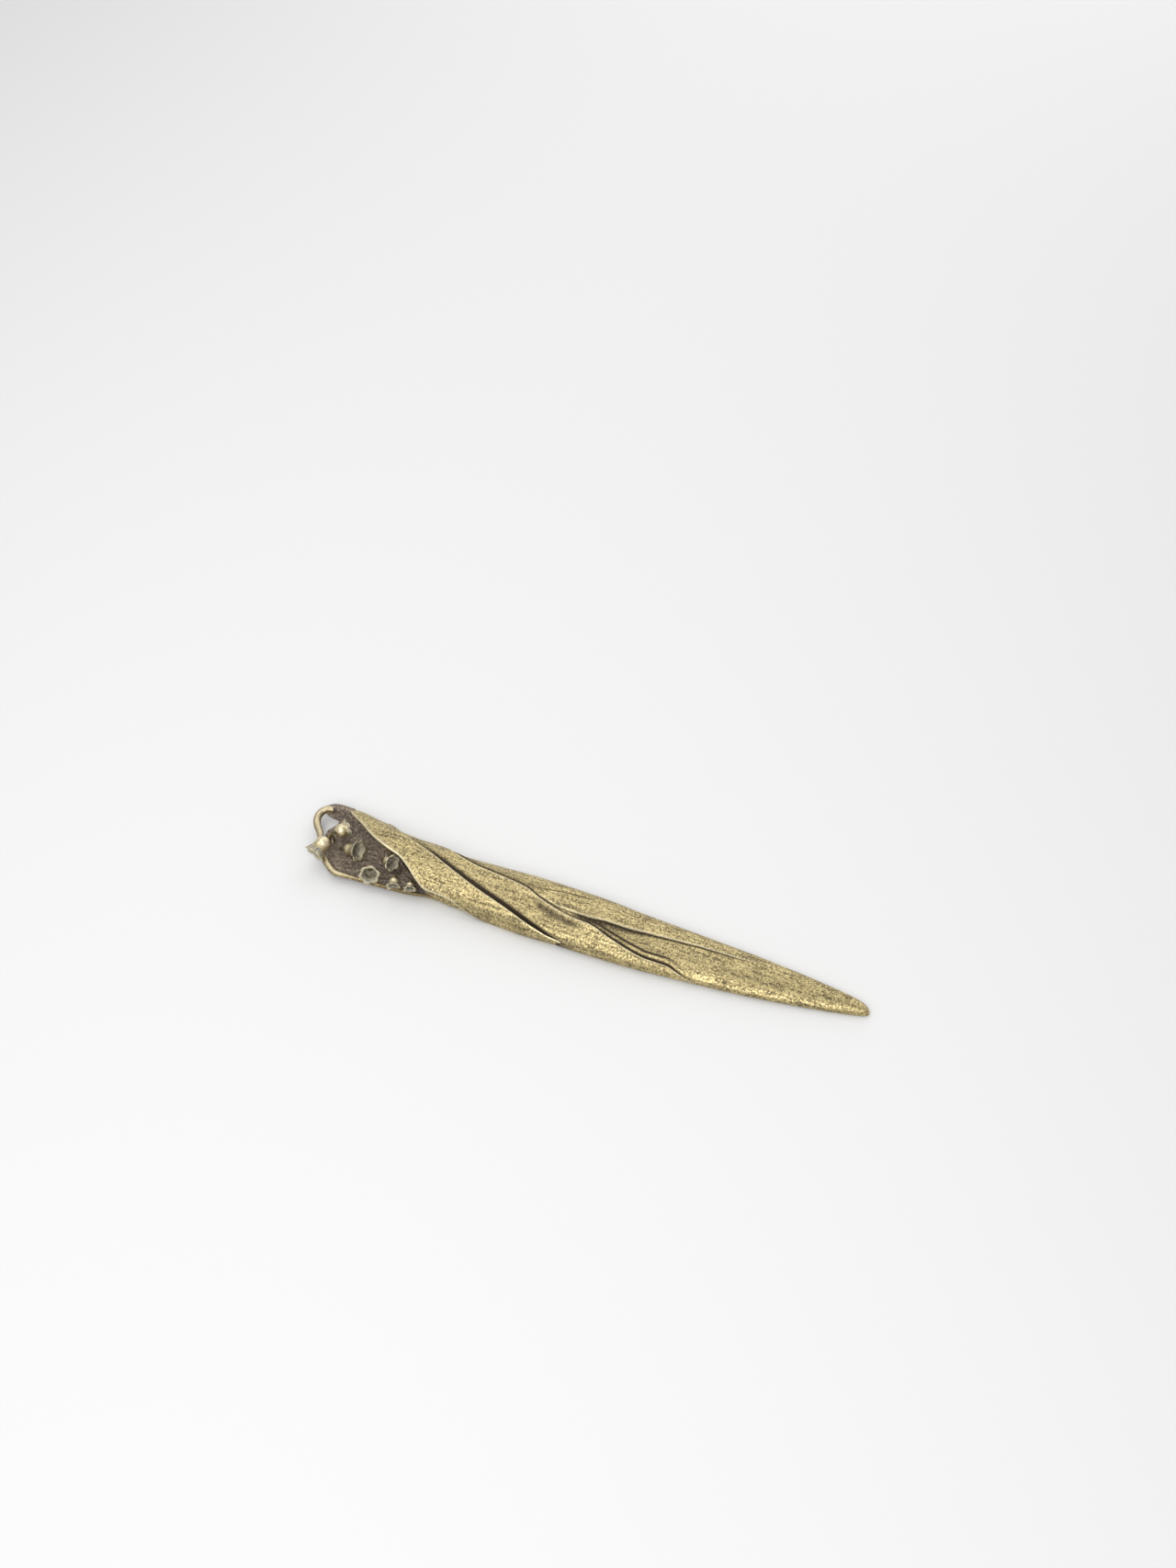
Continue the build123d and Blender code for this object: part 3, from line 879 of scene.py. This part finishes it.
def stem_radius(t):
    """Radius that shrinks in three steps from the loop to the hidden end."""
    shrink = 0.25 * smooth(0.20, 0.40, t) + 0.45 * smooth(0.55, 0.7, t)
    return STEM_RADIUS * (1.45 - shrink - 0.30 * smooth(0.8, 1.0, t))


def stem_recess(t):
    """Darkening that grows where the stem slips under the leaf."""
    return 0.45 * smooth(0.66, 0.78, t)


def stem_shine_and_highlight(t):
    """Rubbed shine and painted highlight of the open loop, gone where the stem reaches the near
    edge.
    """
    return 0.55 * (1 - smooth(0.60, 0.72, t))


stem = tube(
    "flower_stem_tube", stem_points(), stem_radius, STEM_RINGS, STEM_SIDES,
    stem_recess, stem_shine_and_highlight,
)
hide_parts("flower_stem")

# %% [markdown]
# ## The flowers' wires
#
# Each bell hangs on a fine wire that rises from the ground and ends in a small head inside the
# crown. The wires are dark, because they are too thin and too deep to be rubbed.

# %% wires
PEDICEL_RADIUS = 0.45
PEDICEL_RINGS = 60
PEDICEL_SIDES = 14
PEDICEL_PATINA = 0.45
HEAD_REACH = 0.6


def pedicel_radius(t):
    """Radius that widens near the end into the head."""
    return PEDICEL_RADIUS * (1 + 0.75 * smooth(0.93, 0.97, t))


def make_wire(number, row):
    """Fine bent wire from the ground into the crown of one bell, with a head inside."""
    place, aim, share = row[:3]
    dome = share * BELL_RADIUS
    axis = Vector(aim).normalized()
    crown = at_shares(*place) - axis * dome
    behind = crown - axis * dome
    root = Vector((behind.x, behind.y, GROUND_LEVEL + BRAZE_GAP))
    points = [root, root + (behind - root) * 0.55 + axis * 0.2, crown - axis * 0.5 * dome,
              crown, crown + axis * (BELL_WALL + HEAD_REACH)]
    wire = tube(
        "pedicel_%d_wire" % number, points, pedicel_radius, PEDICEL_RINGS, PEDICEL_SIDES,
        always(PEDICEL_PATINA), always(0.0),
    )
    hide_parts("pedicel_%d" % number)
    return wire


wires = [make_wire(number, row) for number, row in enumerate(BELL_SHARES, start=1)]

# %% [markdown]
# ## The rim of the bed
#
# At the far corner of the open butt the ground ends in a soft thick rim, and the solid of the
# bed has a plain corner. The solid stays as it is, and a short dark bar is laid along it.

# %% rim of the bed
MARGIN_SHARES = [
    (-0.80, 1.02, 0.46), (-0.87, 1.03, 0.46), (-0.93, 0.99, 0.47), (-0.975, 0.87, 0.47),
    (-1.0, 0.72, 0.46),
]
MARGIN_RINGS = 60
MARGIN_SIDES = 18


def margin_radius(t):
    """Radius that falls from 1.9 to 0.9 mm towards the stem."""
    return 1.9 - 1.0 * smooth(0.3, 1.0, t)


margin = tube(
    "bed_margin", [at_shares(*shares) for shares in MARGIN_SHARES], margin_radius,
    MARGIN_RINGS, MARGIN_SIDES, always(0.0), always(0.0),
)

# %% [markdown]
# ## Aged brass
#
# One group of nodes works out the aged metal for every piece. It mixes rubbed brass with brown
# patina and painted shade by the recess mark, pales it by the polish mark for rubbed metal with
# a painted highlight, lays fine casting grain and long hand-rubbed streaks over both, and gives
# back a colour, a roughness, a metal share and a height. Each material feeds its own shader.
# Four separate trees could do it, but then a new patina would be made four times.

# %% aged metal group
# Scale, detail and roughness of each noise
GRAIN = (1500, 3, 0.6)
SPECK = (1150, 4, 0.65)
CLOUD = (150, 5, 0.6)
STREAK = (900, 4, 0.6)
STREAK_STRETCH = (0.06, 1.0, 1.0)
# Pale colour of rubbed brass, which also paints the highlight on edges and domes
RUBBED_EDGE_AND_HIGHLIGHT = (0.92, 0.84, 0.60, 1)


def node_of(tree, kind, **values):
    """New node with some of its plain settings."""
    node = tree.nodes.new(kind)
    for key, value in values.items():
        setattr(node, key, value)
    return node


def make_aged_group():
    """Node group that gives colour, roughness, metal share and height of aged brass."""
    group = bpy.data.node_groups.new("aged_brass", "ShaderNodeTree")
    face = group.interface
    face.new_socket("Vector", in_out="INPUT", socket_type="NodeSocketVector")
    face.new_socket("Recess", in_out="INPUT", socket_type="NodeSocketFloat")
    face.new_socket("PolishAndHighlight", in_out="INPUT", socket_type="NodeSocketFloat")
    face.new_socket("Bright", in_out="INPUT", socket_type="NodeSocketColor")
    face.new_socket("Worn", in_out="INPUT", socket_type="NodeSocketColor")
    face.new_socket("Dark", in_out="INPUT", socket_type="NodeSocketColor")
    face.new_socket("Grime", in_out="INPUT", socket_type="NodeSocketFloat")
    face.new_socket("Fleck", in_out="INPUT", socket_type="NodeSocketFloat")
    face.new_socket("Color", in_out="OUTPUT", socket_type="NodeSocketColor")
    face.new_socket("Roughness", in_out="OUTPUT", socket_type="NodeSocketFloat")
    face.new_socket("Metallic", in_out="OUTPUT", socket_type="NodeSocketFloat")
    face.new_socket("Height", in_out="OUTPUT", socket_type="NodeSocketFloat")
    link = group.links.new
    source = node_of(group, "NodeGroupInput")
    result = node_of(group, "NodeGroupOutput")

    def noise(scale, detail, rough, stretch=None):
        """Noise over the object, stretched along the opener when asked."""
        node = node_of(group, "ShaderNodeTexNoise")
        node.inputs["Scale"].default_value = scale
        node.inputs["Detail"].default_value = detail
        node.inputs["Roughness"].default_value = rough
        if stretch is None:
            link(source.outputs["Vector"], node.inputs["Vector"])
        else:
            scaled = node_of(group, "ShaderNodeVectorMath", operation="MULTIPLY")
            scaled.inputs[1].default_value = stretch
            link(source.outputs["Vector"], scaled.inputs[0])
            link(scaled.outputs[0], node.inputs["Vector"])
        return node.outputs["Fac"]

    def remap(value, low, high, to_low, to_high):
        """Value moved from one range to another and held inside it."""
        node = node_of(group, "ShaderNodeMapRange")
        link(value, node.inputs["Value"])
        node.inputs["From Min"].default_value = low
        node.inputs["From Max"].default_value = high
        node.inputs["To Min"].default_value = to_low
        node.inputs["To Max"].default_value = to_high
        return node.outputs["Result"]

    def math_node(operation, first, second):
        """Sum, product or other plain operation on two values."""
        node = node_of(group, "ShaderNodeMath", operation=operation)
        for index, value in enumerate((first, second)):
            if isinstance(value, (int, float)):
                node.inputs[index].default_value = value
            else:
                link(value, node.inputs[index])
        return node.outputs[0]

    def mix(factor, first, second):
        """Mix of two colours by a value."""
        node = node_of(group, "ShaderNodeMix", data_type="RGBA")
        link(factor, node.inputs["Factor"])
        link(first, node.inputs[6])
        link(second, node.inputs[7])
        return node.outputs[2]

    grain = noise(*GRAIN)
    speck = noise(*SPECK)
    cloud = noise(*CLOUD)
    streak = noise(*STREAK, STREAK_STRETCH)
    cloudy = remap(cloud, 0.35, 0.68, 0.0, 0.55)
    worn_share = math_node("ADD", cloudy, remap(grain, 0.38, 0.62, -0.30, 0.75))
    worn_share = remap(worn_share, 0.0, 1.0, 0.0, 1.0)
    body = mix(worn_share, source.outputs["Bright"], source.outputs["Worn"])
    patchy = math_node("ADD", math_node("MULTIPLY", speck, 0.6), math_node("MULTIPLY", streak, 0.4))
    freckle = remap(patchy, 0.48, 0.59, 0.0, 0.85)
    freckle = math_node("MULTIPLY", freckle, source.outputs["Grime"])
    edge = math_node("SUBTRACT", source.outputs["Recess"], remap(speck, 0.3, 0.7, 0.0, 0.30))
    seam = remap(edge, 0.05, 0.60, 0.0, 1.0)
    # held is the share of patina and painted shade, and of the dark flecks
    held = math_node("MAXIMUM", seam, freckle)
    bare = math_node("SUBTRACT", 1.0, math_node("MULTIPLY", source.outputs["PolishAndHighlight"], 0.9))
    held = math_node("MULTIPLY", held, bare)
    shown = math_node("MULTIPLY", remap(speck, 0.47, 0.60, 0.0, 1.0), source.outputs["Fleck"])
    colour = mix(held, body, mix(shown, source.outputs["Dark"], source.outputs["Bright"]))
    pale = node_of(group, "ShaderNodeRGB")
    pale.outputs[0].default_value = RUBBED_EDGE_AND_HIGHLIGHT
    # The polish mark pales the colour: rubbed metal and a painted highlight.
    colour = mix(math_node("MULTIPLY", source.outputs["PolishAndHighlight"], 0.75), colour, pale.outputs[0])
    link(colour, result.inputs["Color"])
    rough = math_node("ADD", remap(grain, 0.3, 0.7, 0.34, 0.52), math_node("MULTIPLY", held, 0.22))
    rough = math_node("SUBTRACT", rough, math_node("MULTIPLY", source.outputs["PolishAndHighlight"], 0.12))
    link(rough, result.inputs["Roughness"])
    link(remap(held, 0.0, 1.0, 1.0, 0.55), result.inputs["Metallic"])
    height = math_node("ADD", math_node("MULTIPLY", grain, 0.6), math_node("MULTIPLY", speck, 0.8))
    height = math_node("ADD", height, math_node("MULTIPLY", streak, 0.5))
    link(height, result.inputs["Height"])
    return group


AGED = make_aged_group()
print("nodes in the group", len(AGED.nodes))

# %% [markdown]
# ## A material from the group
#
# Every piece is one alloy, so the materials differ only in colours, patina and roughness of
# the casting. The ground was left as it came from the mould, so a second bump adds its lumps.

# %% material helper
LUMP_SCALE = 480
LUMP_SMOOTHNESS = 0.6
LUMP_HEIGHT = 1.1 * MM
FINE_RELIEF = 0.12
READ_FROM_GROUP = (("Color", "Base Color"), ("Roughness", "Roughness"), ("Metallic", "Metallic"))


def add_lumps(tree, place, lift):
    """Lumps of raw casting under the fine grain of a bump node."""
    lumps = node_of(tree, "ShaderNodeTexVoronoi", feature="SMOOTH_F1")
    lumps.inputs["Scale"].default_value = LUMP_SCALE
    lumps.inputs["Smoothness"].default_value = LUMP_SMOOTHNESS
    tree.links.new(place.outputs["Object"], lumps.inputs["Vector"])
    pressed = node_of(tree, "ShaderNodeBump")
    pressed.inputs["Strength"].default_value = 1.0
    pressed.inputs["Distance"].default_value = LUMP_HEIGHT
    tree.links.new(lumps.outputs["Distance"], pressed.inputs["Height"])
    tree.links.new(pressed.outputs["Normal"], lift.inputs["Normal"])


def make_metal(name, colors, grime, bump, fleck=0.0, relief=FINE_RELIEF, raw=False):
    """Material that reads the group; raw metal has no marks, and has lumps of casting."""
    material = bpy.data.materials.new(name)
    material.use_nodes = True
    tree = material.node_tree
    shader = tree.nodes["Principled BSDF"]
    aged = node_of(tree, "ShaderNodeGroup", node_tree=AGED)
    place = node_of(tree, "ShaderNodeTexCoord")
    tree.links.new(place.outputs["Object"], aged.inputs["Vector"])
    for socket, color in zip(("Bright", "Worn", "Dark"), colors):
        aged.inputs[socket].default_value = (*color, 1)
    aged.inputs["Grime"].default_value = grime
    aged.inputs["Fleck"].default_value = fleck
    for socket, target in READ_FROM_GROUP:
        tree.links.new(aged.outputs[socket], shader.inputs[target])
    lift = node_of(tree, "ShaderNodeBump")
    lift.inputs["Strength"].default_value = bump
    lift.inputs["Distance"].default_value = relief * MM
    tree.links.new(aged.outputs["Height"], lift.inputs["Height"])
    tree.links.new(lift.outputs["Normal"], shader.inputs["Normal"])
    if raw:
        add_lumps(tree, place, lift)
        return material
    for label, socket in (("recess", "Recess"), ("polish_and_highlight", "PolishAndHighlight")):
        mark = node_of(tree, "ShaderNodeAttribute", attribute_name=label)
        tree.links.new(mark.outputs["Fac"], aged.inputs[socket])
    return material


print("values read from the group", len(READ_FROM_GROUP))

# %% [markdown]
# ## The four finishes
#
# The leaves are pale gold where rubbed and where a highlight is painted, and nearly black in
# the seams, with patina and painted shade. The bells are paler, and grey inside. The stem and
# wires are a darker yellow, the ground a dull brown with flecks.

# %% finishes
# Bright, worn and dark colour of each finish
# Dark colour of patina, which also paints the shade in hollows, below steps and on flanks
PATINA_AND_SHADE = (0.045, 0.030, 0.016)
LEAF_COLORS = ((0.70, 0.58, 0.295), (0.29, 0.228, 0.112), PATINA_AND_SHADE)
BELL_COLORS = ((0.74, 0.64, 0.42), (0.40, 0.32, 0.16), (0.26, 0.25, 0.215))
STEM_COLORS = ((0.46, 0.36, 0.17), (0.25, 0.18, 0.09), PATINA_AND_SHADE)
GROUND_COLORS = ((0.52, 0.43, 0.34), (0.19, 0.152, 0.125), (0.05, 0.038, 0.032))
RAW_RELIEF = 0.8

leaf_brass = make_metal("leaf_brass", LEAF_COLORS, 0.9, 0.8)
bell_brass = make_metal("bell_brass", BELL_COLORS, 0.6, 0.7, fleck=0.7)
stem_brass = make_metal("stem_brass", STEM_COLORS, 1.1, 0.6)
ground_brown = make_metal(
    "ground_brown", GROUND_COLORS, 0.9, 1.0, fleck=0.3, relief=RAW_RELIEF, raw=True,
)
print("finishes", leaf_brass.name, bell_brass.name, stem_brass.name, ground_brown.name)

# %% [markdown]
# ## Which piece wears which finish
#
# Two pieces have a second finish on some faces: the blade is brown where the mouth crosses it,
# and the bed is brass on its far flank. Choosing faces by place avoids cutting the mesh.

# %% dressing the pieces
EDGE_SLACK = 0.1
BED_FLANK_START = -46

for piece in (outer_leaf, middle_leaf, blade):
    piece.data.materials.append(leaf_brass)
for bell in bells:
    bell.data.materials.append(bell_brass)
for piece in [stem] + wires:
    piece.data.materials.append(stem_brass)
margin.data.materials.append(ground_brown)

blade.data.materials.append(ground_brown)
for face in blade.data.polygons:
    spot = face.center / MM
    wall, level = ground_at(spot.x, spot.y)
    low_enough = GROUND_LEVEL - EDGE_SLACK < spot.z < level + EDGE_SLACK
    if spot.x < 0 and spot.y < wall + EDGE_SLACK and low_enough:
        face.material_index = 1

bed_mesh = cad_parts["flower_bed"].data
bed_mesh.materials.clear()
bed_mesh.materials.append(ground_brown)
bed_mesh.materials.append(leaf_brass)
for face in bed_mesh.polygons:
    spot = face.center / MM
    if spot.x > BED_FLANK_START and spot.y > HALF_WIDTH * ground_wall(spot.x) + EDGE_SLACK:
        face.material_index = 1
print("brown faces of the blade", sum(face.material_index for face in blade.data.polygons))
print("brass faces of the bed", sum(face.material_index for face in bed_mesh.polygons))

# %% [markdown]
# ## The table
#
# The opener lies on a wide pale table that fills the picture. A white one would lose the soft
# shadow, so it is a light grey.

# %% table
TABLE_HALF = 3.0
TABLE_COLOR = (0.765, 0.765, 0.765)
TABLE_ROUGHNESS = 0.9


def make_material(name, color, roughness):
    """Plain material for the stage."""
    material = bpy.data.materials.new(name)
    material.use_nodes = True
    shader = material.node_tree.nodes["Principled BSDF"]
    shader.inputs["Base Color"].default_value = (*color, 1)
    shader.inputs["Roughness"].default_value = roughness
    return material


floor_mesh = bpy.data.meshes.new("table_top")
table_bm = bmesh.new()
bmesh.ops.create_grid(table_bm, x_segments=2, y_segments=2, size=TABLE_HALF)
table_bm.to_mesh(floor_mesh)
table_bm.free()
floor = bpy.data.objects.new("table_top", floor_mesh)
bpy.context.scene.collection.objects.link(floor)
floor.data.materials.append(make_material("pale_table", TABLE_COLOR, TABLE_ROUGHNESS))
print("table", 2 * TABLE_HALF, "m wide")

# %% [markdown]
# ## The light
#
# Broad soft light comes from above, the front and behind, and a white world fills the rest.
# Small lamps would put hard white dots on the domes, so each light is a large square.

# %% lights
AIR_LIGHT = 0.6
TARGET = (0.05, 0.0, 0.005)
# Name, place and size in metres, and watts
SOFT_BOXES = [
    ("key_light", (0.10, -0.55, 0.75), 0.7, 4.2),
    ("far_light", (0.00, 0.85, 0.50), 1.0, 2.6),
    ("top_light", (-0.30, 0.10, 0.80), 0.6, 1.6),
]

world = bpy.data.worlds.new("studio")
bpy.context.scene.world = world
world.use_nodes = True
world.node_tree.nodes["Background"].inputs["Color"].default_value = (1, 1, 1, 1)
world.node_tree.nodes["Background"].inputs["Strength"].default_value = AIR_LIGHT


def soft_box(name, place, size, watts):
    """Square soft light at a place, aimed at the opener."""
    lamp = bpy.data.lights.new(name, "AREA")
    lamp.size = size
    lamp.energy = watts
    piece = bpy.data.objects.new(name, lamp)
    piece.location = place
    piece.rotation_euler = (Vector(place) - Vector(TARGET)).to_track_quat("Z", "Y").to_euler()
    bpy.context.scene.collection.objects.link(piece)
    return piece


lamps = [soft_box(*row) for row in SOFT_BOXES]
print("watts", [round(lamp.data.energy, 1) for lamp in lamps])

# %% [markdown]
# ## The camera
#
# The camera looks down along the handle at the angle of the photograph. It could be dragged
# into place, but here it is worked out from one point of the opener and the pixel that shows
# it, so its direction and its place can be corrected one by one.

# %% camera
AZIMUTH, ELEVATION = math.radians(20.46), math.radians(52.0)
LENS = 40.0
SENSOR = 36.0
PICTURE = (1280.0, 1707.0)
ANCHOR_PIXEL = (495.136, 954.766)
ANCHOR = Vector((0, 0, 6.0)) * MM
ANCHOR_DEPTH = 683.433 * MM
forward = Vector((
    -math.sin(AZIMUTH) * math.cos(ELEVATION),
    math.cos(AZIMUTH) * math.cos(ELEVATION),
    -math.sin(ELEVATION),
))
right = Vector((math.cos(AZIMUTH), math.sin(AZIMUTH), 0))
up = right.cross(forward)
focal = LENS / SENSOR * PICTURE[1]
ray = forward + right * ((ANCHOR_PIXEL[0] - PICTURE[0] / 2) / focal)
ray -= up * ((ANCHOR_PIXEL[1] - PICTURE[1] / 2) / focal)
camera_data = bpy.data.cameras.new("photo_camera")
camera_data.lens = LENS
camera_data.sensor_width = SENSOR
camera_data.sensor_fit = "AUTO"
camera_data.clip_start = 0.01
camera = bpy.data.objects.new("photo_camera", camera_data)
camera.matrix_world = Matrix.Translation(ANCHOR - ray * ANCHOR_DEPTH) @ Matrix((
    (right.x, up.x, -forward.x, 0),
    (right.y, up.y, -forward.y, 0),
    (right.z, up.z, -forward.z, 0),
    (0, 0, 0, 1),
))
bpy.context.scene.collection.objects.link(camera)
bpy.context.scene.camera = camera
bpy.context.scene.view_settings.view_transform = "Standard"
print("camera", [round(v, 3) for v in camera.matrix_world.translation])
